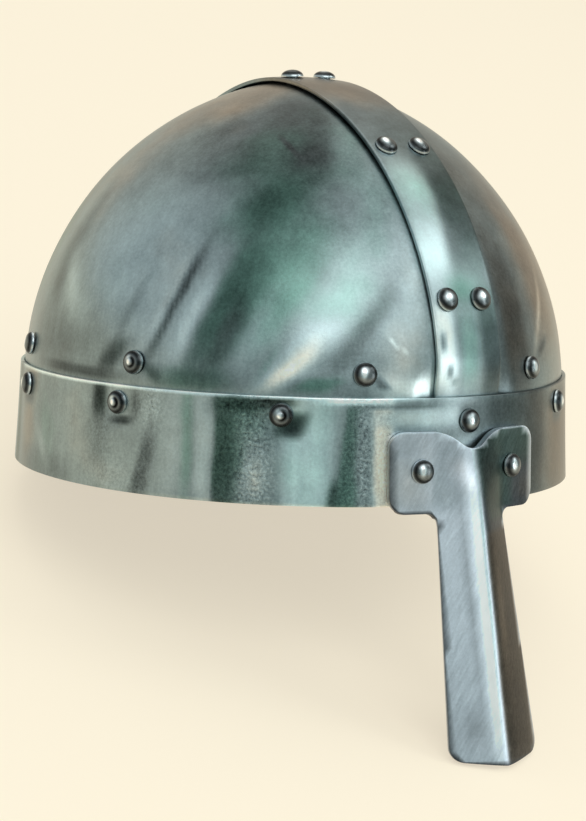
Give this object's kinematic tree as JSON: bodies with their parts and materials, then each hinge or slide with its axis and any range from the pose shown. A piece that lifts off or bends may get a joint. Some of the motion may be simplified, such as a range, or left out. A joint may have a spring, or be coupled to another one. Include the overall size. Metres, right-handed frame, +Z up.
{
  "type": "nasal helmet",
  "caption": "Open-faced helmet of riveted sheet steel: a domed skull under a crest band, a brow band round the rim and a ridged nose guard with a notched top.",
  "frame": {"origin": "centre of the bottom of the bounding box, on the surface that the helmet rests on", "axes": "+Z up, -Y the front, where the nose guard is, -X the wearer's right. The helmet leans back 20 degrees about X, as it rests by itself on the lower edge of the nose guard and the rear of the rim. +Y is the longest extent and +Z the shortest."},
  "size_m": [0.2158, 0.289, 0.186],
  "materials": {
    "sheet_steel": "satin, darkened and lightly pitted",
    "nasal_steel": "brushed, with fine cross scratches",
    "rivet_steel": "polished by wear"
  },
  "bodies": {
    "root": {"shell_right": "sheet_steel", "shell_left": "sheet_steel", "crest_band": "sheet_steel", "brow_band": "sheet_steel", "nasal": "nasal_steel", "brow_rivet_01": "rivet_steel", "brow_rivet_02": "rivet_steel", "brow_rivet_03": "rivet_steel", "brow_rivet_04": "rivet_steel", "brow_rivet_05": "rivet_steel", "brow_rivet_06": "rivet_steel", "brow_rivet_07": "rivet_steel", "brow_rivet_08": "rivet_steel", "brow_rivet_09": "rivet_steel", "brow_rivet_10": "rivet_steel", "liner_rivet_01": "rivet_steel", "liner_rivet_02": "rivet_steel", "liner_rivet_03": "rivet_steel", "liner_rivet_04": "rivet_steel", "liner_rivet_05": "rivet_steel", "liner_rivet_06": "rivet_steel", "liner_rivet_07": "rivet_steel", "liner_rivet_08": "rivet_steel", "crest_rivet_01": "rivet_steel", "crest_rivet_02": "rivet_steel", "crest_rivet_03": "rivet_steel", "crest_rivet_04": "rivet_steel", "crest_rivet_05": "rivet_steel", "crest_rivet_06": "rivet_steel", "crest_rivet_07": "rivet_steel", "crest_rivet_08": "rivet_steel", "crest_rivet_09": "rivet_steel", "crest_rivet_10": "rivet_steel", "nasal_rivet_right": "rivet_steel", "nasal_rivet_left": "rivet_steel"}
  },
  "joints": []
}
